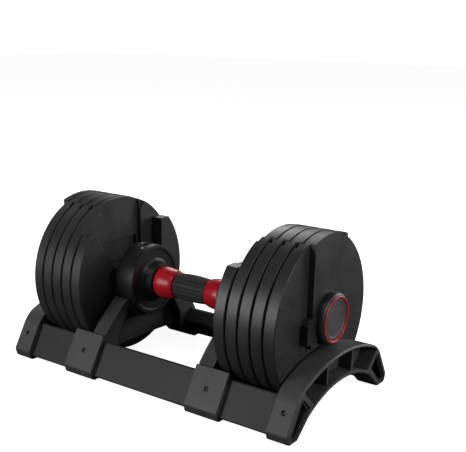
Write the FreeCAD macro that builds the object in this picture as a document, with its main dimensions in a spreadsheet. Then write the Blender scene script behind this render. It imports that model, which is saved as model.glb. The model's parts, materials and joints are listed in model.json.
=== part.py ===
import FreeCAD, Part
import Sketcher
import math
import os

# Adjustable dumbbell in its storage tray, millimetres.
# X runs along the handle, Y to the rear, Z up. The origin is on the floor under the middle.
# A twist of the grip drives two lock rods out of the hubs, through one plate after another.

Vector = FreeCAD.Vector
doc = FreeCAD.newDocument("adjustable_dumbbell")
sheet = doc.addObject("Spreadsheet::Sheet", "dims")

# A size that starts with "=" is worked out from the others.
sizes = {
    # dumbbell as a whole
    "plateRadius": 95.0,
    "plateThickness": 14.2,
    "plateGap": 1.5,
    "stackInner": 97.8,           # inner face of the innermost plate
    "platesPerEnd": 5,
    # tongue and channel that hang each plate on the next one
    "tongueHalf": 33.5,
    "tongueProud": 6.7,
    "tongueTip": 95.8,
    "tongueFoot": 24.0,
    "slideClear": 0.45,
    "channelDepth": 5.9,
    "recessDepth": 10.2,
    "recessTop": 43.0,
    "recessHalf": 31.0,
    "leadWidth": 13.0,
    "leadDepth": 3.2,
    "leadFoot": 75.0,
    "rimChamfer": 1.0,
    # opening of the small plate
    "openTop": 62.0,
    "openFoot": 15.0,
    "openStraight": 56.0,
    "openSlant": 64.0,
    "openSlantFoot": 34.0,
    # lock rods and their bores
    "rodRadius": 7.3,
    "rodClear": 0.35,
    "bushWall": 1.6,
    "rodInner": 5.0,
    "rodTipBack": 0.8,            # rod tip stays this far behind the hub face
    "pinRadius": 2.0,
    "pinFromEnd": 4.0,
    "slotClear": 0.35,
    "twistRange": 300,            # degrees from the lightest to the heaviest setting
    # handle
    "tubeWall": 2.5,
    "camWall": 2.0,
    "camHalf": 92.0,
    "runClear": 0.3,
    "gripHalf": 23.5,
    "gripEndRadius": 14.9,
    "gripMidRadius": 16.4,
    "fluteCount": 16,
    "fluteRadius": 0.9,
    "collarEnd": 50.5,
    "collarSmall": 16.6,
    "collarLarge": 19.3,
    "guardInner": 61.0,
    "guardThickness": 5.0,
    "hubRadius": 43.0,
    "hubWall": 2.5,
    "hubShoulder": 88.0,
    "bossRadius": 29.0,
    "hubGap": 0.6,                # hub end face to the innermost plate
    "dialInset": 4.0,             # hub's open end to the dial ring
    "dialThickness": 9.0,
    "dialRimWall": 3.0,
    "dialClear": 0.8,
    "windowWidth": 15.0,
    "windowLength": 8.5,
    "plungerRadius": 2.6,
    "plungerLength": 9.0,
    "ballRadius": 2.0,
    "detentPlace": 38.2,
    "springWire": 0.6,
    # end cover
    "coverRadius": 29.6,
    "coverLift": 2.7,
    "coverDepth": 10.0,
    "ringRadius": 26.0,
    "ringWall": 2.6,
    "ringSeat": 2.2,
    "lugFront": 46.0,
    "lugTop": 11.5,
    "lugCorner": 6.0,
    "lugFoot": 16.5,
    # tray
    "footPad": 1.5,
    "railWall": 2.6,
    "endClear": 2.2,              # outermost plate to the end bracket
    "endWidth": 26.8,
    "endInner": "=stackInner + platesPerEnd * (plateThickness + plateGap) - plateGap + endClear",
    "trayHalf": "=endInner + endWidth",
    "railHalf": "=trayHalf - 1.8",
    "cradleInner": 70.0,
    "cradleArchEnd": 90.0,
    "cradleOuter": 114.0,
    "saddleClear": 0.5,
    "webThickness": 7.0,
    "lipThickness": 3.2,
    "archRise": 30.7,             # top of the end arch below the axis
    "archFoot": 62.5,             # underside of the end arch below the axis
    "archFootArc": 135.0,
    "cradleFoot": 77.0,
    "fitClear": 0.3,
    "ribThickness": 3.0,
    "screwRadius": 1.6,
    "screwHead": 2.6,
    "headDepth": 1.9,
    "trayHeight": 101.9,          # bottom of the brackets below the axis
    "padProud": 0.6,
    "axisHeight": "=trayHeight + padProud",
    "shoulderRound": 38.0,        # where the end arch turns down
    "toeRound": 5.5,
    "edgeRound": 2.4,
    "recessSide": 59.0,
    "recessCrestY": 78.5,
    "ribPlace": 27.0,
    "saddleTip": 40.0,
    "sleeveTopY": 85.5,
    "sleeveTopZ": 51.0,
    "sleeveOuterY": 109.6,
    "sleeveOuterZ": 91.2,
    "sleeveInnerY": 63.0,
    "sleeveInnerZ": 75.5,
    "sleeveHeelY": 90.0,
    "railCrestY": 79.5,
    "railCrestZ": 60.5,
    "railSideY": 67.5,
    "railSideZ": 73.0,
    "railHeelY": 93.0,
    "railToeY": 105.2,
    "railFootZ": 99.0,
    "padLength": 18.0,
    "padWidth": 9.6,
    "padPlace": 96.0,
}
for row, (name, size) in enumerate(sizes.items(), start=1):
    sheet.set("A%d" % row, name)
    sheet.set("B%d" % row, str(size))
    sheet.setAlias("B%d" % row, name)
doc.recompute()

# Outline of the hollow rail in the Y-Z plane, rear side, below the axis.
railOutline = [("railCrestY", "-railCrestZ"), ("railSideY", "-railSideZ"), ("railHeelY", "-railFootZ"),
               ("railToeY - 4", "-railFootZ"), ("railToeY", "-railFootZ + 3"),
               ("railCrestY + 4", "-railCrestZ + 1.5")]


def d(expression):
    # puts the sheet's name before every alias in an expression
    words = []
    word = ""
    for letter in expression + " ":
        if letter.isalnum():
            word += letter
            continue
        words.append("dims." + word if word in sizes else word)
        words.append(letter)
        word = ""
    return "".join(words).strip()


def size(expression):
    value = sheet.evalExpression(d(expression))
    return float(getattr(value, "Value", value))


def bind(thing, field, expression):
    thing.setExpression(field, d(expression))


def place(thing, x="0", turned=False, z="axisHeight"):
    # turned: the same piece at the other end, half a turn about the vertical
    rotation = FreeCAD.Rotation(Vector(0, 0, 1), 180 if turned else 0)
    sign = -1 if turned else 1
    thing.Placement = FreeCAD.Placement(Vector(sign * size(x), 0, size(z)), rotation)
    bind(thing, "Placement.Base.x", "%d * (%s)" % (sign, x))
    bind(thing, "Placement.Base.z", z)


def newBody(label):
    body = doc.addObject("PartDesign::Body", label)
    body.Label = label
    return body


def newSketch(body, plane, offset="0", turn=None, at=None):
    sketch = body.newObject("Sketcher::SketchObject", body.Name + "_sketch")
    base = [f for f in body.Origin.OriginFeatures if f.Role == plane][0]
    sketch.AttachmentSupport = [(base, "")]
    sketch.MapMode = "FlatFace"
    if turn is None:
        sketch.AttachmentOffset = FreeCAD.Placement(Vector(0, 0, size(offset)), FreeCAD.Rotation())
        bind(sketch, "AttachmentOffset.Base.z", offset)
    else:
        sketch.AttachmentOffset = FreeCAD.Placement(at, turn)
    return sketch


def pin(sketch, geometry, point, u, v):
    # holds a point at (u, v), each a number or an expression of the sheet
    for kind, axis, expression in (("DistanceX", -2, u), ("DistanceY", -1, v)):
        if expression == "0":
            sketch.addConstraint(Sketcher.Constraint("PointOnObject", geometry, point, axis))
            continue
        distance = Sketcher.Constraint(kind, -1, 1, geometry, point, size(expression))
        index = sketch.addConstraint(distance)
        bind(sketch, "Constraints[%d]" % index, expression)


def outline(sketch, corners):
    # closed outline. A corner is (u, v), or (u, v, radius, side) where an arc leads on from it,
    # with its centre on the left (side 1) or the right (side -1) of the way round.
    ends = []
    count = len(corners)
    for i, corner in enumerate(corners):
        following = corners[(i + 1) % count]
        start = Vector(size(corner[0]), size(corner[1]), 0)
        stop = Vector(size(following[0]), size(following[1]), 0)
        if len(corner) == 2:
            geometry = sketch.addGeometry(Part.LineSegment(start, stop))
            ends.append((geometry, 1, 2))
            continue
        radius = size(corner[2])
        middle = (start + stop) * 0.5
        half = (stop - start) * 0.5
        left = Vector(-half.y, half.x, 0).normalize()
        centre = middle + left * (corner[3] * math.sqrt(radius ** 2 - half.Length ** 2))
        a = math.atan2(start.y - centre.y, start.x - centre.x)
        b = math.atan2(stop.y - centre.y, stop.x - centre.x)
        if corner[3] < 0:
            a, b = b, a
        circle = Part.Circle(centre, Vector(0, 0, 1), radius)
        geometry = sketch.addGeometry(Part.ArcOfCircle(circle, a, b))
        index = sketch.addConstraint(Sketcher.Constraint("Radius", geometry, radius))
        bind(sketch, "Constraints[%d]" % index, corner[2])
        ends.append((geometry, 1, 2) if corner[3] > 0 else (geometry, 2, 1))
    for i, (geometry, startPoint, stopPoint) in enumerate(ends):
        nextGeometry, nextStart, nextStop = ends[(i + 1) % count]
        joint = Sketcher.Constraint("Coincident", geometry, stopPoint, nextGeometry, nextStart)
        sketch.addConstraint(joint)
        pin(sketch, geometry, startPoint, corners[i][0], corners[i][1])


def circle(sketch, radius, u="0", v="0"):
    centre = Vector(size(u), size(v), 0)
    geometry = sketch.addGeometry(Part.Circle(centre, Vector(0, 0, 1), size(radius)))
    index = sketch.addConstraint(Sketcher.Constraint("Radius", geometry, size(radius)))
    bind(sketch, "Constraints[%d]" % index, radius)
    pin(sketch, geometry, 3, u, v)


def rectangle(sketch, u0, v0, u1, v1):
    outline(sketch, [(u0, v0), (u1, v0), (u1, v1), (u0, v1)])


def mirrored(corners):
    # the corners, then the same ones across the vertical, in closed order
    return corners + [("-(%s)" % corner[0], corner[1]) for corner in reversed(corners)]


def extrude(body, kind, sketch, length, backwards=False):
    # a Pad adds along the sketch's normal, a Pocket cuts against it
    feature = body.newObject("PartDesign::" + kind, body.Name + "_" + kind.lower())
    feature.Profile = sketch
    feature.Reversed = backwards
    feature.Length = size(length)
    bind(feature, "Length", length)
    before = body.Shape.Volume if not body.Shape.isNull() else 0
    doc.recompute()
    change = body.Shape.Volume - before
    if (change < 0) != (kind == "Pocket") or abs(change) < 1e-3:
        raise ValueError("%s changes %s by %.3f mm3" % (feature.Name, body.Label, change))
    return feature


def revolve(body, corners):
    # corners are (x, radius) round the X axis
    sketch = newSketch(body, "XZ_Plane")
    outline(sketch, corners)
    feature = body.newObject("PartDesign::Revolution", body.Name + "_turned")
    feature.Profile = sketch
    feature.ReferenceAxis = (sketch, ["H_Axis"])
    feature.Angle = 360
    doc.recompute()
    return feature


def dress(body, kind, radius, wanted):
    # rounds or bevels the edges that the test picks
    base = body.Tip
    names = ["Edge%d" % (i + 1) for i, edge in enumerate(base.Shape.Edges) if wanted(edge)]
    feature = body.newObject("PartDesign::" + kind, body.Name + "_" + kind.lower())
    feature.Base = (base, names)
    field = "Radius" if kind == "Fillet" else "Size"
    setattr(feature, field, size(radius))
    bind(feature, field, radius)
    doc.recompute()
    return feature


def group(label, members):
    # separate identical solids that share one node
    compound = doc.addObject("Part::Compound", label)
    compound.Label = label
    compound.Links = members
    return compound


def strip(sketch, half, foot, tip):
    # upright strip that ends in an arc round the axis
    shoulder = "sqrt((%s)^2 - (%s)^2)" % (tip, half)
    corners = [("-(%s)" % half, foot), (half, foot), (half, shoulder, tip, 1), ("-(%s)" % half, shoulder)]
    outline(sketch, corners)


pitch = "(plateThickness + plateGap)"
boreRadius = "rodRadius + rodClear + bushWall"
nodes = []


def keep(thing):
    nodes.append(thing)
    return thing


# ---- plates -------------------------------------------------------------------------------

def plateX(index):
    return "stackInner + %d * %s" % (index, pitch)


def roundEdges(edge):
    return edge.Curve.TypeId == "Part::GeomCircle" and edge.Curve.Radius > 50


def fullPlate(label, index, turned):
    body = newBody(label)
    disc = newSketch(body, "YZ_Plane")
    circle(disc, "plateRadius")
    extrude(body, "Pad", disc, "plateThickness")
    dress(body, "Chamfer", "rimChamfer", roundEdges)
    tongue = newSketch(body, "YZ_Plane", "plateThickness - 1")
    strip(tongue, "tongueHalf", "-tongueFoot", "tongueTip")
    extrude(body, "Pad", tongue, "tongueProud + 1")
    channel = newSketch(body, "YZ_Plane")
    strip(channel, "tongueHalf + slideClear", "-(tongueFoot + slideClear)", "tongueTip + 6")
    extrude(body, "Pocket", channel, "channelDepth", True)
    recess = newSketch(body, "YZ_Plane")
    rectangle(recess, "-recessHalf", "-(tongueFoot - 2)", "recessHalf", "recessTop")
    extrude(body, "Pocket", recess, "recessDepth", True)
    leadIn = newSketch(body, "YZ_Plane")
    inner = "tongueHalf - 1"
    for sign in ("", "-"):
        corners = [(sign + "(%s)" % inner, "leadFoot"), (sign + "(%s)" % inner, "plateRadius + 2"),
                   (sign + "(tongueHalf + leadWidth)", "plateRadius + 2"),
                   (sign + "(tongueHalf + leadWidth)", "leadFoot + leadWidth + 2")]
        outline(leadIn, corners)
    extrude(body, "Pocket", leadIn, "leadDepth", True)
    bore = newSketch(body, "YZ_Plane")
    circle(bore, boreRadius)
    extrude(body, "Pocket", bore, "plateThickness + tongueProud + 1", True)
    place(body, plateX(index), turned)
    return keep(body)


def smallPlate(label, turned):
    body = newBody(label)
    disc = newSketch(body, "YZ_Plane")
    circle(disc, "plateRadius")
    extrude(body, "Pad", disc, "plateThickness")
    dress(body, "Chamfer", "rimChamfer", roundEdges)
    tongue = newSketch(body, "YZ_Plane", "plateThickness - 1")
    rectangle(tongue, "-tongueHalf", "-tongueFoot", "tongueHalf", "openFoot")
    extrude(body, "Pad", tongue, "tongueProud + 1")
    opening = newSketch(body, "YZ_Plane", "-1")
    outline(opening, [("-openStraight", "openFoot"), ("openSlantFoot", "openFoot"), ("openSlant", "openTop"),
                      ("plateRadius + 5", "openTop"), ("plateRadius + 5", "plateRadius + 5"),
                      ("-(plateRadius + 5)", "plateRadius + 5"), ("-(plateRadius + 5)", "openTop"),
                      ("-openStraight", "openTop")])
    extrude(body, "Pocket", opening, "plateThickness + tongueProud + 2", True)
    bore = newSketch(body, "YZ_Plane", "-1")
    circle(bore, boreRadius)
    extrude(body, "Pocket", bore, "plateThickness + tongueProud + 2", True)
    place(body, plateX(0), turned)
    return keep(body)


def bush(label, index, turned):
    body = newBody(label)
    sketch = newSketch(body, "YZ_Plane", "recessDepth" if index else "0")
    circle(sketch, boreRadius)
    circle(sketch, "rodRadius + rodClear")
    length = "plateThickness + tongueProud - recessDepth" if index else "plateThickness"
    extrude(body, "Pad", sketch, length)
    place(body, plateX(index), turned)
    return body


def endCover(label, turned):
    # bezel with a stepped seat for the ring, and a lug that hooks over the side of the tongue
    body = newBody(label)
    disc = newSketch(body, "YZ_Plane")
    circle(disc, "coverRadius", "0", "coverLift")
    extrude(body, "Pad", disc, "coverDepth")
    lug = newSketch(body, "YZ_Plane", "0")
    outline(lug, [("-lugFront", "-lugFoot"), ("-10", "-lugFoot"), ("-10", "lugTop + 4"),
                  ("-lugFront + lugCorner", "lugTop"), ("-lugFront", "lugTop - lugCorner")])
    extrude(body, "Pad", lug, "2.6")
    foot = newSketch(body, "YZ_Plane", "-tongueProud + 0.1")
    hook = "-(tongueHalf + slideClear)"
    outline(foot, [("-lugFront", "-lugFoot"), (hook, "-lugFoot"), (hook, "lugTop"),
                   ("-lugFront + lugCorner", "lugTop"), ("-lugFront", "lugTop - lugCorner")])
    extrude(body, "Pad", foot, "tongueProud + 1")
    outer = size("coverDepth")
    reach = size("coverRadius") - 1

    def faceEdge(edge):
        box = edge.BoundBox
        return abs(box.XMin - outer) < 1e-6 and abs(box.XMax - outer) < 1e-6 and box.ZLength > reach
    dress(body, "Fillet", "4.6", faceEdge)
    seat = newSketch(body, "YZ_Plane", "coverDepth + 1")
    circle(seat, "ringRadius", "0", "coverLift")
    extrude(body, "Pocket", seat, "ringSeat + 1")
    place(body, "%s - plateGap + tongueProud" % plateX(5), turned)
    return keep(body)


def coverRing(label, turned):
    body = newBody(label)
    sketch = newSketch(body, "YZ_Plane")
    circle(sketch, "ringRadius - 0.1", "0", "coverLift")
    circle(sketch, "ringRadius - ringWall", "0", "coverLift")
    extrude(body, "Pad", sketch, "ringSeat + 1.0")
    place(body, "%s - plateGap + tongueProud + coverDepth - ringSeat" % plateX(5), turned)
    return keep(body)


def coverBadge(label, turned):
    body = newBody(label)
    sketch = newSketch(body, "YZ_Plane")
    circle(sketch, "ringRadius - ringWall - 0.15", "0", "coverLift")
    extrude(body, "Pad", sketch, "ringSeat - 0.4")
    place(body, "%s - plateGap + tongueProud + coverDepth - ringSeat" % plateX(5), turned)
    return keep(body)


# ---- handle -------------------------------------------------------------------------------

tubeOuter = "rodRadius + rodClear + tubeWall"
camInner = "rodRadius + rodClear + tubeWall + runClear"
camOuter = "rodRadius + rodClear + tubeWall + runClear + camWall"
hubEnd = "stackInner - hubGap"
rodStroke = "platesPerEnd * (plateThickness + plateGap)"
pinX = "rodInner + pinFromEnd"


def handleTube():
    body = newBody("handle_tube")
    sketch = newSketch(body, "YZ_Plane", "-(%s)" % hubEnd)
    circle(sketch, tubeOuter)
    circle(sketch, "rodRadius + rodClear")
    extrude(body, "Pad", sketch, "2 * (%s)" % hubEnd)
    # straight slots that keep the rods' pins from turning, on top at +X and below at -X
    halfSlot = "(pinRadius + slotClear)"
    for side, plane in ((1, "0"), (-1, "-40")):
        slot = newSketch(body, "XY_Plane", plane)
        inner = "%d * (%s - %s)" % (side, pinX, halfSlot)
        outer = "%d * (%s + %s + %s)" % (side, pinX, rodStroke, halfSlot)
        rectangle(slot, inner, "-(%s)" % halfSlot, outer, halfSlot)
        extrude(body, "Pocket", slot, "40", True)
    place(body)
    return keep(body)


def camSleeve():
    # tube with two helical slots of opposite hand, which push the rods' pins apart
    inner = size(camInner)
    outer = size(camOuter)
    half = size("camHalf")
    stroke = size(rodStroke)
    spare = size("pinRadius + slotClear")
    lead = stroke * 360 / size("twistRange")
    axis = Vector(1, 0, 0)
    tube = Part.makeCylinder(outer, 2 * half, Vector(-half, 0, 0), axis)
    tube = tube.cut(Part.makeCylinder(inner, 2 * half, Vector(-half, 0, 0), axis))
    middle = (inner + outer) / 2
    # the slot is this long along the tube, where it crosses the pin's path at a slant
    halfLong = spare * math.hypot(lead, 2 * math.pi * middle) / (2 * math.pi * middle)
    section = Part.makePolygon([Vector(inner - 1, 0, -halfLong), Vector(outer + 1, 0, -halfLong),
                                Vector(outer + 1, 0, halfLong), Vector(inner - 1, 0, halfLong),
                                Vector(inner - 1, 0, -halfLong)])
    helix = Part.makeHelix(lead, stroke, middle, 0, True)
    band = Part.Wire(helix.Edges).makePipeShell([section], True, True)
    # the helix runs along X and starts on top, under the right rod's pin
    lay = FreeCAD.Rotation(Vector(0, 0, 1), Vector(0, -1, 0), axis, "ZXY")
    band.Placement = FreeCAD.Placement(Vector(size(pinX), 0, 0), lay)
    slot = [band]
    for step in range(5):
        # the round ends, where the pin stands at each limit of the twist and a few degrees short of it
        for share in (0.01 * step, 1 - 0.01 * step):
            hole = Part.makeCylinder(spare, outer + 2, Vector(size(pinX) + share * stroke, 0, 0))
            hole.rotate(Vector(0, 0, 0), axis, -share * size("twistRange"))
            slot.append(hole)
    for piece in slot:
        other = piece.mirror(Vector(0, 0, 0), axis)
        other.rotate(Vector(0, 0, 0), axis, 180)
        tube = tube.cut(piece).cut(other)
    sleeve = doc.addObject("Part::Feature", "cam_sleeve")
    sleeve.Shape = tube
    place(sleeve)
    return keep(sleeve)


def dialRing(label, turned):
    body = newBody(label)
    x0 = "guardInner + guardThickness + dialInset"
    x1 = "guardInner + guardThickness + dialInset + dialThickness"
    rim = "hubRadius - hubWall - dialClear"
    revolve(body, [(x0, camOuter), (x0 + " + 3", camOuter), (x1, camOuter), (x1, camOuter + " + 3.5"),
                   (x0 + " + 3", camOuter + " + 3.5"), (x0 + " + 3", rim + " - dialRimWall"),
                   (x1, rim + " - dialRimWall"), (x1, rim), (x0, rim)])
    place(body, "0", turned)
    return keep(body)


def gripRubber():
    # barrel with lengthwise flutes
    body = newBody("grip_rubber")
    rise = "(gripMidRadius - gripEndRadius)"
    arc = "(gripHalf^2 + %s^2) / (2 * %s)" % (rise, rise)
    revolve(body, [("-gripHalf", camOuter), ("gripHalf", camOuter),
                   ("gripHalf", "gripEndRadius", arc, 1), ("-gripHalf", "gripEndRadius")])
    flute = newSketch(body, "YZ_Plane", "-gripHalf - 1")
    circle(flute, "fluteRadius", "0", "gripMidRadius + fluteRadius / 2")
    groove = extrude(body, "Pocket", flute, "2 * gripHalf + 2", True)
    around = body.newObject("PartDesign::PolarPattern", "grip_flutes")
    around.Originals = [groove]
    around.Axis = (flute, ["N_Axis"])
    around.Angle = 360
    around.Occurrences = int(size("fluteCount"))
    bind(around, "Occurrences", "fluteCount")
    body.Tip = around
    doc.recompute()
    place(body)
    return keep(body)


def collar(label, turned):
    body = newBody(label)
    inner = "gripHalf + 0.1"
    bulge = "(gripHalf + 2 * collarEnd) / 3"
    revolve(body, [(inner, camOuter), ("collarEnd", camOuter), ("collarEnd", "collarSmall + 1"),
                   (bulge, "collarLarge"), ("(%s) - 6" % bulge, "collarLarge - 0.3"),
                   (inner, "collarSmall")])
    dress(body, "Fillet", "4", lambda edge: edge.BoundBox.ZLength > 2 * size("collarLarge") - 1)
    place(body, "0", turned)
    return keep(body)


def guardDisc(label, turned):
    body = newBody(label)
    back = "guardInner + guardThickness"
    revolve(body, [("collarEnd + 0.5", "%s + runClear" % camOuter), (back, "%s + runClear" % camOuter),
                   (back, "hubRadius"), ("guardInner + 1", "hubRadius"), ("guardInner", "hubRadius - 1"),
                   ("guardInner", "hubRadius - 5"), ("guardInner + 1.2", "hubRadius - 6.2"),
                   ("guardInner + 1.2", "collarLarge + 8"), ("guardInner - 1", "collarLarge + 5"),
                   ("collarEnd + 0.5", "collarLarge + 1.5")])
    place(body, "0", turned)
    return keep(body)


def hubHousing(label, turned):
    # stepped housing: the dial turns in its wide end, and the tube is seated in its narrow end
    body = newBody(label)
    face = "guardInner + guardThickness"
    cavity = face + " + dialInset + dialThickness + dialClear"
    wide = "hubRadius - hubWall"
    running = "%s + runClear" % camOuter
    seat = "camHalf + 0.5"
    revolve(body, [(face, wide), (face, "hubRadius"), ("hubShoulder", "hubRadius"),
                   ("hubShoulder", "bossRadius"), (hubEnd, "bossRadius"), (hubEnd, tubeOuter),
                   (seat, tubeOuter), (seat, running), (cavity, running), (cavity, wide)])
    window = newSketch(body, "XY_Plane", "hubRadius - hubWall - 6")
    x0 = face + " + dialInset + 0.3"
    rectangle(window, x0, "-windowWidth / 2", x0 + " + windowLength", "windowWidth / 2")
    extrude(body, "Pocket", window, "12", True)
    hole = newSketch(body, "XY_Plane", "-hubRadius - 1")
    circle(hole, "plungerRadius + 0.15", plungerX)
    extrude(body, "Pocket", hole, "plungerLength + 3", True)
    detent = newSketch(body, "YZ_Plane", cavity)
    circle(detent, "ballRadius + 0.1", "detentPlace", "0")
    extrude(body, "Pocket", detent, "6.4", True)
    place(body, "0", turned)
    return keep(body)


plungerX = "hubShoulder - plungerRadius - 1.2"


def plunger(label, turned):
    # sprung pin in the foot of the hub, held up by the saddle while the dumbbell is in its tray
    pinBody = newBody(label)
    sketch = newSketch(pinBody, "XY_Plane", "-hubRadius + 0.3")
    circle(sketch, "plungerRadius", plungerX)
    extrude(pinBody, "Pad", sketch, "plungerLength - 3")
    place(pinBody, "0", turned)
    return keep(pinBody)


def lockRod(label, turned):
    rod = newBody(label)
    sketch = newSketch(rod, "YZ_Plane", "rodInner")
    circle(sketch, "rodRadius")
    extrude(rod, "Pad", sketch, "%s - rodTipBack - rodInner" % hubEnd)
    tip = size("%s - rodTipBack" % hubEnd)
    dress(rod, "Chamfer", "1.5", lambda edge: abs(edge.BoundBox.XMin - tip) < 1e-6)
    hole = newSketch(rod, "XY_Plane", "3")
    circle(hole, "pinRadius", pinX)
    extrude(rod, "Pocket", hole, "rodRadius", True)
    place(rod, "0", turned)
    if turned:
        rod.Placement = rod.Placement.multiply(FreeCAD.Placement(Vector(), Vector(1, 0, 0), 180))
        bind(rod, "Placement.Base.z", "axisHeight")
    return keep(rod)


def followerPin(label, turned):
    # stands out of the rod, through the straight slot, into the helical slot
    pinBody = newBody(label)
    sketch = newSketch(pinBody, "XY_Plane", "3")
    circle(sketch, "pinRadius", pinX)
    extrude(pinBody, "Pad", sketch, "%s - 0.2 - 3" % camOuter)
    place(pinBody, "0", turned)
    if turned:
        pinBody.Placement = pinBody.Placement.multiply(FreeCAD.Placement(Vector(), Vector(1, 0, 0), 180))
        bind(pinBody, "Placement.Base.z", "axisHeight")
    return keep(pinBody)


# ---- tray ---------------------------------------------------------------------------------

def scaled(corners, inset):
    # the outline moved inwards by inset, each corner along its own bisector
    points = [Vector(size(u), size(v), 0) for u, v in corners]
    count = len(points)
    moved = []
    for i, point in enumerate(points):
        before = (points[i - 1] - point).normalize()
        after = (points[(i + 1) % count] - point).normalize()
        inward = (before + after).normalize()
        sine = abs(before.cross(inward).z)
        step = inward * (1 / sine)
        moved.append(("%s + %.6f * (%s)" % (corners[i][0], step.x, inset),
                      "%s + %.6f * (%s)" % (corners[i][1], step.y, inset)))
    return moved


# Outer face of a sleeve in the Y-Z plane, from its top edge to its toe.
sleeveTop = ("sleeveTopY", "-sleeveTopZ")
sleeveOuter = ("sleeveOuterY", "-sleeveOuterZ")
sleeveToe = ("sleeveOuterY - 3", "-trayHeight")
sleeveHeel = ("sleeveHeelY", "-trayHeight")
sleeveInner = ("sleeveInnerY", "-sleeveInnerZ")
endScrewX = "(endInner + trayHalf) / 2"
cradleScrewX = "(cradleInner + cradleOuter) / 2"


def faceSquare(side):
    # unit vector square to the outer face of the sleeves, side 1 at the rear, -1 at the front
    fall = size("sleeveOuterZ - sleeveTopZ")
    out = size("sleeveOuterY - sleeveTopY")
    return Vector(0, side * fall, out).normalize()


def faceSpot(side, x, out):
    # point above the middle of the sleeve's outer face
    middle = Vector(size(x), side * size("(sleeveTopY + sleeveOuterY) / 2"),
                    -size("(sleeveTopZ + sleeveOuterZ) / 2"))
    return middle + faceSquare(side) * out


def faceDrill(body, side, centres, radius, depth):
    # round holes square to the face, at these places along X
    lean = FreeCAD.Rotation(Vector(0, 0, 1), faceSquare(side))
    sketch = newSketch(body, "XY_Plane", turn=lean, at=faceSpot(side, "0", 3))
    for x in centres:
        circle(sketch, radius, x, "0")
    return extrude(body, "Pocket", sketch, "3 + %s" % depth)


def otherSide(corners):
    return [("-(%s)" % u, v) for u, v in corners]


def sleeveHoles(body, x):
    cavity = newSketch(body, "YZ_Plane", "cradleInner - 20")
    outline(cavity, scaled(railOutline, "-fitClear"))
    outline(cavity, otherSide(scaled(railOutline, "-fitClear")))
    extrude(body, "Pocket", cavity, "trayHalf", True)
    for side in (1, -1):
        faceDrill(body, side, [x], "screwHead + 0.2", "headDepth")
        faceDrill(body, side, [x], "screwRadius + 0.2", "8")


def padSeats(body, x):
    # shallow pockets that hold the foot pads
    seat = newSketch(body, "XY_Plane", "-trayHeight - 1")
    inner = "padPlace - padWidth / 2 - 0.2"
    outer = "padPlace + padWidth / 2 + 0.2"
    x0 = "(%s) - padLength / 2 - 0.2" % x
    x1 = "(%s) + padLength / 2 + 0.2" % x
    rectangle(seat, x0, inner, x1, outer)
    rectangle(seat, x0, "-(%s)" % outer, x1, "-(%s)" % inner)
    extrude(body, "Pocket", seat, "1 + trayHeight - axisHeight + footPad", True)


def roundToes(body, length):
    def toeEdge(edge):
        return abs(edge.Length - size(length)) < 1e-6 and abs(edge.BoundBox.YMin) > size("sleeveOuterY - 4")
    dress(body, "Fillet", "toeRound", toeEdge)


archArc = "((sleeveTopY^2 + (sleeveTopZ - archRise)^2) / (2 * (sleeveTopZ - archRise)))"


def endBracket(label, turned):
    # arched beam with a foot at each end and a deep pocket in its outer side between thin lips
    body = newBody(label)
    block = newSketch(body, "YZ_Plane", "endInner")
    corner = ("sleeveInnerY", "-(archFoot + archFootArc) + sqrt(archFootArc^2 - sleeveInnerY^2)")
    top = ("sleeveTopY", "-sleeveTopZ", archArc, 1)
    loop = mirrored([corner, sleeveHeel, sleeveToe, sleeveOuter, top])
    loop[-1] += ("archFootArc", -1)
    outline(block, loop)
    extrude(body, "Pad", block, "trayHalf - endInner")
    length = size("trayHalf - endInner")
    roundToes(body, "trayHalf - endInner")

    def shoulderEdge(edge):
        box = edge.BoundBox
        return abs(edge.Length - length) < 1e-6 and abs(box.ZMax + size("sleeveTopZ")) < 1e-3
    dress(body, "Fillet", "shoulderRound", shoulderEdge)
    outer = size("trayHalf")

    def outerEdge(edge):
        box = edge.BoundBox
        centre = edge.CenterOfMass
        flat = abs(box.XMin - outer) < 1e-6 and abs(box.XMax - outer) < 1e-6
        return flat and (box.ZMax > -size("archRise") - 1 or abs(centre.y) > size("sleeveTopY") - 12 and
                         centre.z > -size("sleeveOuterZ") - 1)
    dress(body, "Fillet", "edgeRound", outerEdge)
    recess = newSketch(body, "YZ_Plane", "trayHalf")
    inside = "(%s - lipThickness)" % archArc
    edge = "-(archRise + %s) + sqrt(%s^2 - recessCrestY^2)" % (archArc, inside)
    sill = "(archFootArc + lipThickness)"
    floor = "-(archFoot + archFootArc) + sqrt(%s^2 - recessSide^2)" % sill
    loop = mirrored([("recessSide", floor), ("recessCrestY", "%s - 3" % edge), ("recessCrestY", edge, inside, 1)])
    loop[-1] += (sill, -1)
    outline(recess, loop)
    extrude(body, "Pocket", recess, "trayHalf - endInner - webThickness")
    for y in ("-ribPlace", "ribPlace"):
        rib = newSketch(body, "YZ_Plane", "endInner + webThickness - 1")
        rectangle(rib, y + " - ribThickness / 2", "-archFoot + 1", y + " + ribThickness / 2", "-archRise - 2")
        extrude(body, "Pad", rib, "trayHalf - endInner - webThickness - 3")
    padSeats(body, endScrewX)
    sleeveHoles(body, endScrewX)
    place(body, "0", turned)
    return keep(body)


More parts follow.
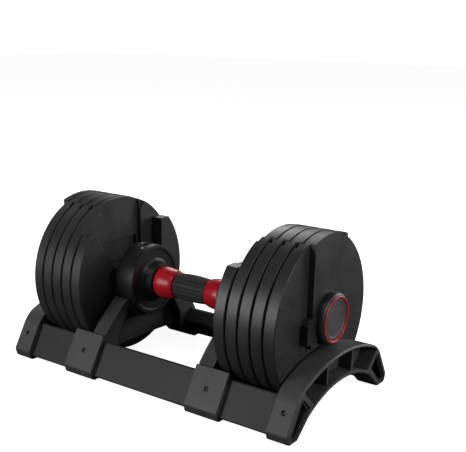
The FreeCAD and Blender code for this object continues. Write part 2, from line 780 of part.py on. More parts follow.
def cradleBracket(label, turned):
    # two sleeves joined by a beam with a round saddle for the hub, open on the grip's side
    body = newBody(label)
    sleeves = newSketch(body, "YZ_Plane", "cradleInner")
    side = [sleeveHeel, sleeveToe, sleeveOuter, sleeveTop, sleeveInner]
    outline(sleeves, side)
    outline(sleeves, otherSide(side))
    extrude(body, "Pad", sleeves, "cradleOuter - cradleInner")
    roundToes(body, "cradleOuter - cradleInner")
    beam = newSketch(body, "YZ_Plane", "cradleInner")
    saddle = "hubRadius + saddleClear"
    tip = ("saddleTip", "-sqrt((%s)^2 - saddleTip^2)" % saddle, saddle, -1)
    half = [("28", "-cradleFoot"), ("50", "-cradleFoot - 1"), ("railSideY - 1", "-cradleFoot - 2"),
            ("railSideY + 8", "-cradleFoot - 6"), ("sleeveTopY - 4", "-sleeveTopZ - 8"),
            ("sleeveTopY - 4", "-sleeveTopZ - 0.5"), ("68", "-37.5"), ("saddleTip + 5", "-18.5"), tip]
    outline(beam, mirrored(half))
    extrude(body, "Pad", beam, "cradleArchEnd - cradleInner")
    recess = newSketch(body, "YZ_Plane", "cradleInner")
    roof = "hubRadius + saddleClear + lipThickness + 0.8"
    bite = ("saddleTip", "-sqrt((%s)^2 - saddleTip^2)" % roof, roof, -1)
    outline(recess, mirrored([("sleeveInnerY - 3", "-trayHeight - 1"), ("sleeveInnerY - 3", "-60"), bite]))
    extrude(body, "Pocket", recess, "cradleArchEnd - cradleInner - webThickness", True)
    padSeats(body, cradleScrewX)
    sleeveHoles(body, cradleScrewX)
    place(body, "0", turned)
    return keep(body)


def rail(label, turned):
    body = newBody(label)
    sketch = newSketch(body, "YZ_Plane", "-railHalf")
    outline(sketch, railOutline)
    extrude(body, "Pad", sketch, "2 * railHalf")
    length = size("2 * railHalf")
    dress(body, "Fillet", "2", lambda edge: abs(edge.Length - length) < 1e-6)
    hollow = newSketch(body, "YZ_Plane", "-railHalf - 1")
    outline(hollow, scaled(railOutline, "railWall"))
    extrude(body, "Pocket", hollow, "2 * railHalf + 2", True)
    centres = ["-(%s)" % endScrewX, "-(%s)" % cradleScrewX, cradleScrewX, endScrewX]
    faceDrill(body, 1, centres, "screwRadius + 0.2", "12")
    place(body, "0", turned)
    return keep(body)


def bracketScrews():
    members = []
    for side in (1, -1):
        for x in ("-(%s)" % endScrewX, "-(%s)" % cradleScrewX, cradleScrewX, endScrewX):
            screw = newBody("screw_%d" % (len(members) + 1))
            head = newSketch(screw, "XY_Plane")
            circle(head, "screwHead")
            extrude(screw, "Pad", head, "headDepth - 0.4")
            socket = newSketch(screw, "XY_Plane", "headDepth - 0.4")
            circle(socket, "screwHead / 2")
            extrude(screw, "Pocket", socket, "0.7")
            shank = newSketch(screw, "XY_Plane")
            circle(shank, "screwRadius")
            extrude(screw, "Pad", shank, "9", True)
            spot = faceSpot(side, x, -size("headDepth")) + Vector(0, 0, size("axisHeight"))
            screw.Placement = FreeCAD.Placement(spot, FreeCAD.Rotation(Vector(0, 0, 1), faceSquare(side)))
            members.append(screw)
    return keep(group("bracket_screws", members))


def footPads():
    members = []
    for x in (endScrewX, cradleScrewX):
        for signX in (1, -1):
            for signY in (1, -1):
                pad = doc.addObject("Part::Box", "foot_pad_%d" % (len(members) + 1))
                for field, expression in (("Length", "padLength"), ("Width", "padWidth"), ("Height", "footPad")):
                    setattr(pad, field, size(expression))
                    bind(pad, field, expression)
                base = ("%d * (%s) - padLength / 2" % (signX, x), "%d * padPlace - padWidth / 2" % signY)
                pad.Placement.Base = Vector(size(base[0]), size(base[1]), 0)
                bind(pad, "Placement.Base.x", base[0])
                bind(pad, "Placement.Base.y", base[1])
                members.append(pad)
    return keep(group("foot_pads", members))


# ---- small sprung pieces -------------------------------------------------------------------

def coil(label, radius, wire, length, turns, at, axis):
    # open coil that runs from this point along this axis
    rise = length - size(wire)
    ring = Part.makeCircle(size(wire) / 2, Vector(size(radius), 0, 0), Vector(0, 1, 0))
    path = Part.Wire(Part.makeHelix(rise / turns, rise, size(radius)).Edges)
    spring = doc.addObject("Part::Feature", label)
    spring.Shape = path.makePipeShell([Part.Wire([ring])], True, True)
    start = at + axis * (size(wire) / 2) + Vector(0, 0, size("axisHeight"))
    spring.Placement = FreeCAD.Placement(start, FreeCAD.Rotation(Vector(0, 0, 1), axis))
    return keep(spring)


def dockSpring(label, turned):
    # stands on the plunger and pushes it down out of the hub
    side = -1 if turned else 1
    foot = -size("hubRadius - 0.3 - (plungerLength - 3)") + 0.05
    length = size("plungerLength + 3 - 1.3 - (plungerLength - 3)") - 0.1
    spot = Vector(side * size(plungerX), 0, foot)
    return coil(label, "plungerRadius - 0.8", "springWire", length, 4, spot, Vector(0, 0, 1))


detentX = "guardInner + guardThickness + dialInset + dialThickness + ballRadius + 0.15"


def detentBall(label, turned):
    side = -1 if turned else 1
    ball = doc.addObject("Part::Sphere", label)
    ball.Label = label
    ball.Radius = size("ballRadius")
    bind(ball, "Radius", "ballRadius")
    ball.Placement.Base = Vector(side * size(detentX), side * size("detentPlace"), size("axisHeight"))
    bind(ball, "Placement.Base.x", "%d * (%s)" % (side, detentX))
    bind(ball, "Placement.Base.y", "%d * detentPlace" % side)
    bind(ball, "Placement.Base.z", "axisHeight")
    return keep(ball)


def detentSpring(label, turned):
    side = -1 if turned else 1
    start = size(detentX) + size("ballRadius") + 0.05
    spot = Vector(side * start, side * size("detentPlace"), 0)
    return coil(label, "ballRadius - 0.7", "springWire", 2.6, 3, spot, Vector(side, 0, 0))


def build():
    for end, turned in (("right", False), ("left", True)):
        smallPlate(end + "_small_plate", turned)
        for index in range(1, int(size("platesPerEnd"))):
            fullPlate("%s_plate_%d" % (end, index), index, turned)
        bushes = [bush("%s_bush_%d" % (end, i), i, turned) for i in range(int(size("platesPerEnd")))]
        keep(group(end + "_plate_bushes", bushes))
        endCover(end + "_end_cover", turned)
        coverRing(end + "_cover_ring", turned)
        coverBadge(end + "_cover_badge", turned)
        hubHousing(end + "_hub_housing", turned)
        guardDisc(end + "_guard_disc", turned)
        dialRing(end + "_dial_ring", turned)
        collar(end + "_collar", turned)
        plunger(end + "_dock_plunger", turned)
        dockSpring(end + "_dock_spring", turned)
        detentBall(end + "_detent_ball", turned)
        detentSpring(end + "_detent_spring", turned)
        lockRod(end + "_lock_rod", turned)
        followerPin(end + "_follower_pin", turned)
        endBracket(end + "_end_bracket", turned)
        cradleBracket(end + "_cradle_bracket", turned)
    handleTube()
    camSleeve()
    gripRubber()
    rail("rear_rail", False)
    rail("front_rail", True)
    bracketScrews()
    footPads()


build()
doc.recompute()
for thing in doc.Objects:
    if "Invalid" in thing.State or "Error" in thing.State:
        raise ValueError("%s failed: %s" % (thing.Label, thing.State))
for node in nodes:
    if node.Shape.isNull() or not node.Shape.isValid() or not node.Shape.Solids:
        raise ValueError("%s has no valid solid" % node.Label)
os.makedirs("parts", exist_ok=True)
for node in nodes:
    node.Shape.exportStep("parts/%s.step" % node.Label)
print(len(nodes), "nodes written")
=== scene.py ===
import bpy
import bmesh
import json
import math
from mathutils import Matrix, Vector


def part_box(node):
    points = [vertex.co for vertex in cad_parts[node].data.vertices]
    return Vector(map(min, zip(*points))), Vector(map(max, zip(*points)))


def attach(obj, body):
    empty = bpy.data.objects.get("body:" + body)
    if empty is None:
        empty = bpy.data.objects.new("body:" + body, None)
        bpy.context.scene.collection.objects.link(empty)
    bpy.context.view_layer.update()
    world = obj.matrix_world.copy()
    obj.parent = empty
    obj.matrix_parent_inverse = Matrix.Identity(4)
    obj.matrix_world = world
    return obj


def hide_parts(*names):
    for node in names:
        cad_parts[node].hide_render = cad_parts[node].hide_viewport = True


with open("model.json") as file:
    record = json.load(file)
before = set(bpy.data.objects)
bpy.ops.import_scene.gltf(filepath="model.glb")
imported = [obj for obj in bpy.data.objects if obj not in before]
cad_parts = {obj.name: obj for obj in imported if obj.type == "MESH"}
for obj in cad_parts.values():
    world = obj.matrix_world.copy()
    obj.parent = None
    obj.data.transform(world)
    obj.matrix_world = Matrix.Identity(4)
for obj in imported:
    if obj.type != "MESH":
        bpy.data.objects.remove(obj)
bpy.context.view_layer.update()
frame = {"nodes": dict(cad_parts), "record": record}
nodes = frame["nodes"]
ends = {"right": 1, "left": -1}
axisHeight = (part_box("handle_tube")[0].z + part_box("handle_tube")[1].z) / 2
print("frame loaded:", len(nodes), "pieces")


# small helpers for materials

def startMaterial(name, colour, roughness, gloss=0.5, metallic=0.0):
    material = bpy.data.materials.new(name)
    material.use_nodes = True
    shader = material.node_tree.nodes["Principled BSDF"]
    shader.inputs["Base Color"].default_value = (*colour, 1)
    shader.inputs["Roughness"].default_value = roughness
    shader.inputs["Specular IOR Level"].default_value = gloss
    shader.inputs["Metallic"].default_value = metallic
    return material


def add(tree, kind, **settings):
    # a node of this kind; settings that name an input fill it, the others are the node's own
    node = tree.nodes.new("ShaderNode" + kind)
    for key, value in settings.items():
        label = key.replace("_", " ")
        if label in node.inputs:
            node.inputs[label].default_value = value
        else:
            setattr(node, key, value)
    return node


def stretched(tree, scale=(1, 1, 1)):
    # the piece's own coordinates, in metres, times a scale for each axis
    place = add(tree, "TexCoord")
    mapping = add(tree, "Mapping", Scale=scale)
    tree.links.new(place.outputs["Object"], mapping.inputs["Vector"])
    return mapping.outputs["Vector"]


def grain(tree, vector, size, detail=3.0, rough=0.55):
    noise = add(tree, "TexNoise", Scale=size, Detail=detail, Roughness=rough)
    tree.links.new(vector, noise.inputs["Vector"])
    return noise.outputs["Fac"]


def blended(tree, first, second, share):
    mixed = add(tree, "Mix", data_type="FLOAT", Factor=share)
    tree.links.new(first, mixed.inputs[2])
    tree.links.new(second, mixed.inputs[3])
    return mixed.outputs[0]


def spread(tree, value, low, high):
    # the middle of a 0 to 1 pattern turned into a range of values
    mapped = add(tree, "MapRange")
    for label, number in (("From Min", 0.3), ("From Max", 0.7), ("To Min", low), ("To Max", high)):
        mapped.inputs[label].default_value = number
    tree.links.new(value, mapped.inputs["Value"])
    return mapped.outputs["Result"]


def tint(tree, value, dark, light):
    ramp = add(tree, "ValToRGB")
    ramp.color_ramp.elements[0].position = 0.32
    ramp.color_ramp.elements[1].position = 0.68
    ramp.color_ramp.elements[0].color = (*dark, 1)
    ramp.color_ramp.elements[1].color = (*light, 1)
    tree.links.new(value, ramp.inputs["Fac"])
    return ramp.outputs["Color"]


def relief(tree, heights, edge):
    # several bumps, one over the other, on edges that are rounded a little
    bevel = add(tree, "Bevel", samples=4, Radius=edge)
    normal = bevel.outputs["Normal"]
    for value, depth, strength in heights:
        bump = add(tree, "Bump", Strength=strength, Distance=depth)
        tree.links.new(value, bump.inputs["Height"])
        tree.links.new(normal, bump.inputs["Normal"])
        normal = bump.outputs["Normal"]
    return normal


def finish(material, pattern, wanted, normal):
    # colour and roughness follow one pattern, between the two values wanted for each
    tree = material.node_tree
    shader = tree.nodes["Principled BSDF"]
    tree.links.new(tint(tree, pattern, wanted["dark"], wanted["light"]), shader.inputs["Base Color"])
    tree.links.new(spread(tree, pattern, *wanted["rough"]), shader.inputs["Roughness"])
    tree.links.new(normal, shader.inputs["Normal"])
    return material


# black powder coat over turned iron

plateCoat = {"dark": (0.013, 0.013, 0.013), "light": (0.025, 0.025, 0.0245),
             "rough": (0.36, 0.5), "streakSize": 900.0, "streakStretch": 0.02, "streakDepth": 0.00008,
             "grainSize": 1500.0, "grainDepth": 0.00006, "cloudSize": 28.0, "streakShare": 0.45,
             "edge": 0.0007, "gloss": 0.38}


def makePlateCoat():
    # the turning streaks run round the handle's axis: they follow place along it, and the angle
    material = startMaterial("plateCoat", plateCoat["light"], plateCoat["rough"][0], plateCoat["gloss"])
    tree = material.node_tree
    place = add(tree, "TexCoord")
    apart = add(tree, "SeparateXYZ")
    tree.links.new(place.outputs["Object"], apart.inputs["Vector"])
    height = add(tree, "Math", operation="SUBTRACT")
    height.inputs[1].default_value = axisHeight
    tree.links.new(apart.outputs["Z"], height.inputs[0])
    turn = add(tree, "Math", operation="ARCTAN2")
    tree.links.new(height.outputs[0], turn.inputs[0])
    tree.links.new(apart.outputs["Y"], turn.inputs[1])
    slow = add(tree, "Math", operation="MULTIPLY")
    slow.inputs[1].default_value = plateCoat["streakStretch"]
    tree.links.new(turn.outputs[0], slow.inputs[0])
    rim = add(tree, "CombineXYZ")
    tree.links.new(apart.outputs["X"], rim.inputs["X"])
    tree.links.new(slow.outputs[0], rim.inputs["Y"])
    streaks = grain(tree, rim.outputs["Vector"], plateCoat["streakSize"], 4.0, 0.6)
    peel = grain(tree, stretched(tree), plateCoat["grainSize"], 2.0)
    cloud = grain(tree, stretched(tree), plateCoat["cloudSize"], 4.0)
    pattern = blended(tree, cloud, streaks, plateCoat["streakShare"])
    heights = [(streaks, plateCoat["streakDepth"], 0.35), (peel, plateCoat["grainDepth"], 0.4)]
    return finish(material, pattern, plateCoat, relief(tree, heights, plateCoat["edge"]))


# moulded plastics: brackets with a spark texture, smoother hubs, drawn rails

mouldings = {
    "bracketPlastic": {"dark": (0.036, 0.036, 0.0355), "light": (0.056, 0.056, 0.055), "rough": (0.4, 0.56),
                       "grainSize": 1300.0, "depth": 0.00012, "edge": 0.0011, "stretch": (1, 1, 1)},
    "hubPlastic": {"dark": (0.009, 0.009, 0.009), "light": (0.017, 0.017, 0.0165), "rough": (0.34, 0.48),
                   "grainSize": 1700.0, "depth": 0.00006, "edge": 0.0006, "stretch": (1, 1, 1)},
    "railPlastic": {"dark": (0.018, 0.018, 0.0175), "light": (0.029, 0.029, 0.0285), "rough": (0.42, 0.56),
                    "grainSize": 1400.0, "depth": 0.00007, "edge": 0.0006, "stretch": (0.03, 1, 1),
                    "gloss": 0.22},
    "dialPlastic": {"dark": (0.008, 0.008, 0.008), "light": (0.014, 0.014, 0.014), "rough": (0.4, 0.5),
                    "grainSize": 1600.0, "depth": 0.00005, "edge": 0.0004, "stretch": (1, 1, 1)},
    "gripRubber": {"dark": (0.012, 0.0135, 0.0115), "light": (0.023, 0.0255, 0.0225), "rough": (0.55, 0.72),
                   "grainSize": 2100.0, "depth": 0.00014, "edge": 0.0004, "stretch": (1, 1, 1)},
    "padRubber": {"dark": (0.012, 0.012, 0.012), "light": (0.022, 0.022, 0.022), "rough": (0.7, 0.85),
                  "grainSize": 1500.0, "depth": 0.0001, "edge": 0.0004, "stretch": (1, 1, 1)},
    "linerNylon": {"dark": (0.02, 0.02, 0.021), "light": (0.035, 0.035, 0.037), "rough": (0.4, 0.5),
                   "grainSize": 1500.0, "depth": 0.00004, "edge": 0.0003, "stretch": (1, 1, 1)},
    "dialWhite": {"dark": (0.62, 0.62, 0.6), "light": (0.78, 0.78, 0.76), "rough": (0.4, 0.5),
                  "grainSize": 1500.0, "depth": 0.00003, "edge": 0.0001, "stretch": (1, 1, 1)},
    "redPlastic": {"dark": (0.34, 0.004, 0.014), "light": (0.46, 0.01, 0.022), "rough": (0.24, 0.36),
                   "grainSize": 900.0, "depth": 0.00005, "edge": 0.0006, "stretch": (1, 1, 1)},
}
mouldingGloss = 0.3


def makeMoulding(name):
    wanted = mouldings[name]
    gloss = wanted.get("gloss", mouldingGloss)
    material = startMaterial(name, wanted["light"], wanted["rough"][0], gloss)
    tree = material.node_tree
    fine = grain(tree, stretched(tree, wanted["stretch"]), wanted["grainSize"])
    cloud = grain(tree, stretched(tree), 35.0, 4.0)
    pattern = blended(tree, cloud, fine, 0.35)
    return finish(material, pattern, wanted, relief(tree, [(fine, wanted["depth"], 0.5)], wanted["edge"]))


# bare and blackened steel, with turning lines round the handle's axis

steels = {
    "bareSteel": {"dark": (0.36, 0.36, 0.37), "light": (0.56, 0.56, 0.58), "rough": (0.22, 0.38)},
    "springSteel": {"dark": (0.25, 0.25, 0.26), "light": (0.42, 0.42, 0.44), "rough": (0.3, 0.42)},
    "blackSteel": {"dark": (0.02, 0.02, 0.021), "light": (0.05, 0.05, 0.052), "rough": (0.3, 0.45)},
    "badgeMetal": {"dark": (0.055, 0.051, 0.051), "light": (0.095, 0.088, 0.088), "rough": (0.36, 0.48),
                   "metal": 0.35},
}


def makeSteel(name):
    wanted = steels[name]
    metal = wanted.get("metal", 1.0)
    material = startMaterial(name, wanted["light"], wanted["rough"][0], metallic=metal)
    tree = material.node_tree
    lines = grain(tree, stretched(tree, (1, 0.08, 0.08)), 2600.0)
    cloud = grain(tree, stretched(tree), 60.0)
    pattern = blended(tree, cloud, lines, 0.5)
    return finish(material, pattern, wanted, relief(tree, [(lines, 0.00003, 0.4)], 0.0003))


materials = {"plateCoat": makePlateCoat()}
for name in mouldings:
    materials[name] = makeMoulding(name)
for name in steels:
    materials[name] = makeSteel(name)

finishOfSlot = {
    "plate_black": "plateCoat", "hub_black": "hubPlastic", "bracket_black": "bracketPlastic",
    "rail_black": "railPlastic", "gloss_red": "redPlastic", "badge_grey": "badgeMetal",
    "dial_black": "dialPlastic", "grip_rubber": "gripRubber", "bare_steel": "bareSteel",
    "spring_steel": "springSteel", "nylon_liner": "linerNylon", "screw_black": "blackSteel",
    "pad_rubber": "padRubber",
}
for part in frame["record"]["subparts"]:
    piece = nodes[part["node"]]
    piece.data.materials.clear()
    piece.data.materials.append(materials[finishOfSlot[part["material_slot"]]])
print("finishes given to", len(nodes), "pieces")


# turned pieces, built from a closed outline of (place along the handle, radius)

def softened(outline, radius, steps=4):
    # the closed outline with each corner turned into a small arc
    soft = []
    count = len(outline)
    for i, corner in enumerate(outline):
        point = Vector(corner)
        before = Vector(outline[i - 1]) - point
        after = Vector(outline[(i + 1) % count]) - point
        reach = min(radius, before.length * 0.45, after.length * 0.45)
        start = point + before.normalized() * reach
        stop = point + after.normalized() * reach
        for step in range(steps + 1):
            share = step / steps
            soft.append(start * (1 - share) ** 2 + point * 2 * share * (1 - share) + stop * share ** 2)
    return soft


def meshOf(form, name):
    bmesh.ops.recalc_face_normals(form, faces=form.faces)
    mesh = bpy.data.meshes.new(name)
    form.to_mesh(mesh)
    form.free()
    return mesh


def makePiece(name, mesh, material, body, stands=(), smooth=True):
    piece = bpy.data.objects.new(name, mesh)
    bpy.context.scene.collection.objects.link(piece)
    mesh.materials.clear()
    mesh.materials.append(materials[material])
    mesh.polygons.foreach_set("use_smooth", [smooth] * len(mesh.polygons))
    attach(piece, body)
    if stands:
        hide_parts(*stands)


def turned(outline, side=1, height=None, around=128, shape=None):
    # side -1 is the left end; shape(x, radius, angle) may change a radius
    middle = axisHeight if height is None else height
    form = bmesh.new()
    rings = []
    for x, radius in outline:
        ring = []
        for i in range(around):
            angle = 2 * math.pi * i / around
            reach = shape(x, radius, angle) if shape else radius
            spot = (side * x, reach * math.cos(angle), middle + reach * math.sin(angle))
            ring.append(form.verts.new(spot))
        rings.append(ring)
    for i, ring in enumerate(rings):
        following = rings[(i + 1) % len(rings)]
        for j in range(around):
            k = (j + 1) % around
            form.faces.new((ring[j], ring[k], following[k], following[j]))
    return meshOf(form, "turned")


def reachOf(node):
    # inner and outer place along the handle, and largest radius, of a piece round the axis
    low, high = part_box(node)
    return min(abs(low.x), abs(high.x)), max(abs(low.x), abs(high.x)), (high.z - low.z) / 2


# grip with lengthwise flutes that run out before its ends

gripShape = {"flutes": 16, "fluteDepth": 0.0011, "fluteShare": 0.42, "endRadius": 0.0149, "plainEnd": 0.0015,
             "runOut": 0.0035, "endRound": 0.0009, "rows": 64, "stepsPerFlute": 20}


def makeGrip():
    half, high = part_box("grip_rubber")[1].x, reachOf("grip_rubber")[2]
    inner = reachOf("cam_sleeve")[2]
    crown = high - gripShape["endRadius"]
    outline = []
    for i in range(gripShape["rows"] + 1):
        x = -half + 2 * half * i / gripShape["rows"]
        radius = high - crown * (x / half) ** 2
        spare = half - abs(x)
        if spare < gripShape["endRound"]:
            past = 1 - spare / gripShape["endRound"]
            radius -= gripShape["endRound"] * (1 - math.sqrt(1 - past ** 2))
        outline.append((x, radius))
    outline += [(half, inner), (-half, inner)]

    def flute(x, radius, angle):
        if radius <= inner + 1e-6:
            return radius
        run = min(1.0, max(0.0, (half - abs(x) - gripShape["plainEnd"]) / gripShape["runOut"]))
        turnShare = (angle * gripShape["flutes"] / (2 * math.pi)) % 1 - 0.5
        across = abs(turnShare) / (gripShape["fluteShare"] / 2)
        if across >= 1:
            return radius
        depth = gripShape["fluteDepth"] * math.sin(run * math.pi / 2)
        return radius - depth * (0.5 + 0.5 * math.cos(across * math.pi))

    mesh = turned(outline, around=gripShape["flutes"] * gripShape["stepsPerFlute"], shape=flute)
    makePiece("flutedGrip", mesh, "gripRubber", "grip", ["grip_rubber"])


makeGrip()
print("grip built")


# collars: narrow beside the grip, soon nearly full, widest at three quarters and with a lip at the
# guard disc. Each row of the profile is a share of the length and a depth below the largest radius.

collarShape = {"waist": 0.0158, "lip": 0.0176, "lipLength": 0.0012, "lipDrop": 0.0006, "round": 0.0024,
               "profile": ((0.16, 0.0019), (0.55, 0.0003), (0.75, 0.0))}


def makeCollars():
    inner = reachOf("cam_sleeve")[2]
    for end, side in ends.items():
        start, stop, high = reachOf(end + "_collar")
        length = stop - start
        outline = [(start, inner), (start, collarShape["waist"])]
        outline += [(start + share * length, high - drop) for share, drop in collarShape["profile"]]
        outline += [(stop - collarShape["lipLength"], high - collarShape["lipDrop"]),
                    (stop, collarShape["lip"]), (stop, inner)]
        outline = softened(outline, collarShape["round"], 6)
        makePiece(end + "CollarCap", turned(outline, side), "redPlastic", "grip",
                  [end + "_collar"])


makeCollars()
print("collars built")


# end cover: domed ring round a spun badge with no lettering

coverShape = {"gap": 0.00015, "ringRound": 0.0009, "innerSlope": 0.0012, "badgeDish": 0.0006,
              "badgeRound": 0.0005, "step": 0.0035, "sink": 0.0004, "flat": 0.012, "centre": 0.0001}


def makeCovers():
    for end, side in ends.items():
        start, stop, high = reachOf(end + "_cover_ring")
        low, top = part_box(end + "_cover_ring")
        height = (low.z + top.z) / 2
        inner = reachOf(end + "_cover_badge")[2] + coverShape["gap"]
        outline = softened([(start, inner), (start, high), (stop - 0.0004, high), (stop, high - 0.0008),
                            (stop, inner + 0.0009), (stop - coverShape["innerSlope"], inner)],
                           coverShape["ringRound"], 5)
        makePiece(end + "CoverRing", turned(outline, side, height), "redPlastic", "weights",
                  [end + "_cover_ring"])
        start, stop, high = reachOf(end + "_cover_badge")
        step = high - coverShape["step"]
        sunk = stop - coverShape["sink"]
        face = [(start, coverShape["centre"]), (start, high), (stop, high), (stop, step),
                (sunk, step - 0.0003), (sunk, coverShape["flat"]),
                (stop - coverShape["badgeDish"], coverShape["centre"])]
        outline = softened(face, coverShape["badgeRound"])
        makePiece(end + "CoverBadge", turned(outline, side, height), "badgeMetal", "weights",
                  [end + "_cover_badge"])


makeCovers()
print("end covers built")


# dial numbers, each in turn under the window as the grip is twisted

dialMarks = {"numbers": ("5", "10", "20", "30", "40", "50"), "height": 0.0068, "figureShare": 0.7,
             "raised": 0.00022, "sunk": 0.0002, "finest": 0.0011, "firstAngle": 90.0, "step": 60.0}


def numberMesh(text):
    curve = bpy.data.curves.new("number", "FONT")
    curve.body = text
    curve.size = dialMarks["height"] / dialMarks["figureShare"]
    curve.extrude = (dialMarks["raised"] + dialMarks["sunk"]) / 2
    curve.align_x = "CENTER"
    curve.align_y = "CENTER"
    holder = bpy.data.objects.new("number", curve)
    bpy.context.scene.collection.objects.link(holder)
    bpy.context.view_layer.update()
    mesh = bpy.data.meshes.new_from_object(holder.evaluated_get(bpy.context.evaluated_depsgraph_get()))
    bpy.data.objects.remove(holder)
    return mesh


def makeDialNumbers():
    for end, side in ends.items():
        start, stop, radius = reachOf(end + "_dial_ring")
        form = bmesh.new()
        for i, text in enumerate(dialMarks["numbers"]):
            mesh = numberMesh(text)
            glyph = bmesh.new()
            glyph.from_mesh(mesh)
            bmesh.ops.remove_doubles(glyph, verts=glyph.verts, dist=1e-6)
            bmesh.ops.triangulate(glyph, faces=glyph.faces)
            long = [edge for edge in glyph.edges if edge.calc_length() > dialMarks["finest"]]
            bmesh.ops.subdivide_edges(glyph, edges=long, cuts=3, use_grid_fill=False)
            bmesh.ops.triangulate(glyph, faces=glyph.faces)
            angle = math.radians(dialMarks["firstAngle"] - dialMarks["step"] * i)
            for vert in glyph.verts:
                # the figures' heads point away from the grip, and the figures bend round the ring
                out = radius + vert.co.z + (dialMarks["raised"] - dialMarks["sunk"]) / 2
                around = angle + side * vert.co.x / radius
                vert.co = Vector((side * ((start + stop) / 2 + vert.co.y), out * math.cos(around),
                                  axisHeight + out * math.sin(around)))
            bent = bpy.data.meshes.new("bent")
            glyph.to_mesh(bent)
            glyph.free()
            form.from_mesh(bent)
        makePiece(end + "DialNumbers", meshOf(form, "figures"), "dialWhite", "grip",
                  smooth=False)


makeDialNumbers()
print("dial numbers built")


# two small raised white marks on each hub, beside the window; each place is a distance along
# # the handle and an angle from straight up, towards the front

hubWhiteMarks = {"places": ((0.0818, 0.0), (0.0708, 17.0)), "long": 0.0026, "wide": 0.0018,
              "raised": 0.00025, "sunk": 0.0004}
boxFaces = ((0, 1, 3, 2), (4, 5, 7, 6), (0, 1, 5, 4), (2, 3, 7, 6), (0, 2, 6, 4), (1, 3, 7, 5))


def makeHubWhiteMarks():
    corners = [(across, around) for across in (-0.5, 0.5) for around in (-0.5, 0.5)]
    for end, side in ends.items():
        radius = reachOf(end + "_hub_housing")[2]
        form = bmesh.new()
        for place, degrees in hubWhiteMarks["places"]:
            verts = []
            for out in (radius - hubWhiteMarks["sunk"], radius + hubWhiteMarks["raised"]):
                for across, around in corners:
                    angle = math.radians(degrees) + around * hubWhiteMarks["wide"] / radius
                    spot = (side * (place + across * hubWhiteMarks["long"]), -out * math.sin(angle),
                            axisHeight + out * math.cos(angle))
                    verts.append(form.verts.new(spot))
            for face in boxFaces:
                form.faces.new([verts[i] for i in face])
        makePiece(end + "HubWhiteMarks", meshOf(form, "marks"), "dialWhite", "handle", smooth=False)


makeHubWhiteMarks()
print("index marks built")


# screws: round heads with a hexagonal socket, one where each plain one stands. The face they sit in
# leans: it drops by fall while it goes outwards by out. The outer four stand beyond outerFrom.

screwShape = {"headRadius": 0.0025, "headHeight": 0.0014, "dome": 0.0007, "socket": 0.0013,
              "socketDepth": 0.0009, "shank": 0.0016, "length": 0.0085, "around": 36,
              "fall": 40.2, "out": 24.1, "outerFrom": 0.14}


def makeScrews():
    plain = nodes["bracket_screws"].data
    slope = math.hypot(screwShape["fall"], screwShape["out"])
    form = bmesh.new()
    for right in (True, False):
        for outerOne in (True, False):
            for rear in (True, False):
                points = [v.co for v in plain.vertices if (v.co.x > 0) == right and (v.co.y > 0) == rear
                          and (abs(v.co.x) > screwShape["outerFrom"]) == outerOne]
                side = 1 if rear else -1
                up = Vector((0, side * screwShape["fall"] / slope, screwShape["out"] / slope))
                across = Vector((0, side * screwShape["out"] / slope, -screwShape["fall"] / slope))
                x = (min(p.x for p in points) + max(p.x for p in points)) / 2
                v = (min(p.dot(across) for p in points) + max(p.dot(across) for p in points)) / 2
                top = max(p.dot(up) for p in points)
                base = Vector((x, 0, 0)) + across * v + up * top
                buildScrew(form, base, up, across)
    makePiece("socketScrews", meshOf(form, "screws"), "blackSteel", "tray",
              ["bracket_screws"], smooth=False)


def buildScrew(form, base, up, across):
    # rings from the socket's floor, over the dome and down to the point
    along = Vector((1, 0, 0))
    wanted = screwShape
    hexagon = math.cos(math.pi / 6)

    def ring(height, radius, six=False):
        verts = []
        for i in range(wanted["around"]):
            angle = 2 * math.pi * i / wanted["around"]
            sixth = (angle % (math.pi / 3)) - math.pi / 6
            reach = radius * hexagon / math.cos(sixth) if six else radius
            outward = along * (reach * math.cos(angle)) + across * (reach * math.sin(angle))
            verts.append(form.verts.new(base + up * height + outward))
        return verts

    dome = [(wanted["headRadius"] * math.sin(t), -wanted["dome"] * (1 - math.cos(t)))
            for t in (0.75, 0.95, 1.15, 1.35, math.pi / 2)]
    rings = [ring(-wanted["socketDepth"], wanted["socket"], True), ring(-0.0001, wanted["socket"], True),
             ring(0, wanted["socket"] + 0.0002)]
    rings += [ring(height, radius) for radius, height in dome]
    rings += [ring(-wanted["headHeight"], wanted["headRadius"]), ring(-wanted["headHeight"], wanted["shank"]),
              ring(-wanted["length"], wanted["shank"])]
    form.faces.new(rings[0])
    form.faces.new(list(reversed(rings[-1])))
    for one, two in zip(rings, rings[1:]):
        for i in range(wanted["around"]):
            j = (i + 1) % wanted["around"]
            form.faces.new((one[i], one[j], two[j], two[i]))


makeScrews()
print("screws built")


# floor, light and camera; each lamp has a place, a size and a power

studio = {"floorSize": 14.0, "floorColour": (0.8, 0.8, 0.8), "floorGlow": 0.92, "floorBounce": 0.12,
          "sky": 0.06, "skySeen": 1.2, "target": (0, 0, 0.1),
          "lamps": {"frontLamp": ((-0.65, -1.35, 0.45), 0.65, 13.0),
                    "backLamp": ((-0.8, 1.15, 1.0), 0.5, 6.0),
                    "topLamp": ((0.3, -0.9, 1.7), 0.8, 6.0),
                    "sideLamp": ((1.9, 0.15, 0.8), 0.8, 22.0),
                    "rearLamp": ((0.9, 1.9, 0.6), 1.0, 20.0),
                    "leftLamp": ((-2.0, 0.5, 0.6), 0.9, 14.0)}}


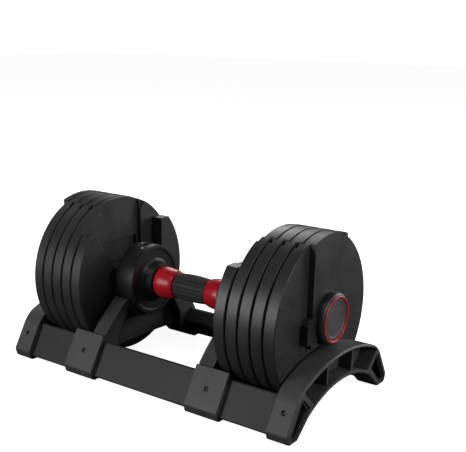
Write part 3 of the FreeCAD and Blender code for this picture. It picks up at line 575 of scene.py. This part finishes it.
def makeFloor():
    # the floor looks white to the camera and throws little light back on the object
    mesh = bpy.data.meshes.new("studioFloor")
    half = studio["floorSize"] / 2
    corners = [(-half, -half, 0), (half, -half, 0), (half, half, 0), (-half, half, 0)]
    mesh.from_pydata(corners, [], [(0, 1, 2, 3)])
    floor = bpy.data.objects.new("studioFloor", mesh)
    bpy.context.scene.collection.objects.link(floor)
    paper = startMaterial("studioPaper", studio["floorColour"], 0.95, 0.0)
    tree = paper.node_tree
    shader = tree.nodes["Principled BSDF"]
    shader.inputs["Emission Color"].default_value = (1, 1, 1, 1)
    seen = add(tree, "LightPath")
    glow = add(tree, "Math", operation="MULTIPLY")
    glow.inputs[1].default_value = studio["floorGlow"]
    tree.links.new(seen.outputs["Is Camera Ray"], glow.inputs[0])
    tree.links.new(glow.outputs[0], shader.inputs["Emission Strength"])
    bounce = add(tree, "MapRange")
    bounce.inputs["To Min"].default_value = studio["floorBounce"]
    bounce.inputs["To Max"].default_value = studio["floorColour"][0]
    tree.links.new(seen.outputs["Is Camera Ray"], bounce.inputs["Value"])
    tree.links.new(bounce.outputs["Result"], shader.inputs["Base Color"])
    floor.data.materials.append(paper)


def makeSky():
    world = bpy.data.worlds.new("studioSky")
    world.use_nodes = True
    tree = world.node_tree
    sky = tree.nodes["Background"]
    sky.inputs["Color"].default_value = (1, 1, 1, 1)
    seen = add(tree, "LightPath")
    bright = add(tree, "MapRange")
    bright.inputs["To Min"].default_value = studio["sky"]
    bright.inputs["To Max"].default_value = studio["skySeen"]
    tree.links.new(seen.outputs["Is Camera Ray"], bright.inputs["Value"])
    tree.links.new(bright.outputs["Result"], sky.inputs["Strength"])
    bpy.context.scene.world = world


def makeLamps():
    for name, (spot, size, power) in studio["lamps"].items():
        lamp = bpy.data.lights.new(name, "AREA")
        lamp.size = size
        lamp.energy = power
        lampObject = bpy.data.objects.new(name, lamp)
        lampObject.location = spot
        towards = Vector(studio["target"]) - Vector(spot)
        lampObject.rotation_euler = towards.to_track_quat("-Z", "Y").to_euler()
        bpy.context.scene.collection.objects.link(lampObject)


camera = {"place": (0.6069, -0.7813, 0.4096), "turn": 37.44, "tilt": 19.59, "roll": 0.34, "lens": 67.0,
          "shiftX": 0.0706, "shiftY": 0.211}


def makeCamera():
    data = bpy.data.cameras.new("camera")
    data.sensor_width = 36
    data.lens = camera["lens"]
    data.shift_x = camera["shiftX"]
    data.shift_y = camera["shiftY"]
    holder = bpy.data.objects.new("camera", data)
    turn = math.radians(camera["turn"])
    tilt = math.radians(camera["tilt"])
    level = math.cos(tilt)
    back = Vector((math.sin(turn) * level, -math.cos(turn) * level, math.sin(tilt)))
    holder.location = camera["place"]
    roll = Matrix.Rotation(math.radians(camera["roll"]), 4, back)
    facing = (-back).to_track_quat("-Z", "Y").to_matrix().to_4x4()
    holder.rotation_euler = (roll @ facing).to_euler()
    bpy.context.scene.collection.objects.link(holder)
    bpy.context.scene.camera = holder


makeFloor()
makeSky()
makeLamps()
makeCamera()
bpy.context.scene.view_settings.view_transform = "Standard"
print("studio and camera ready")
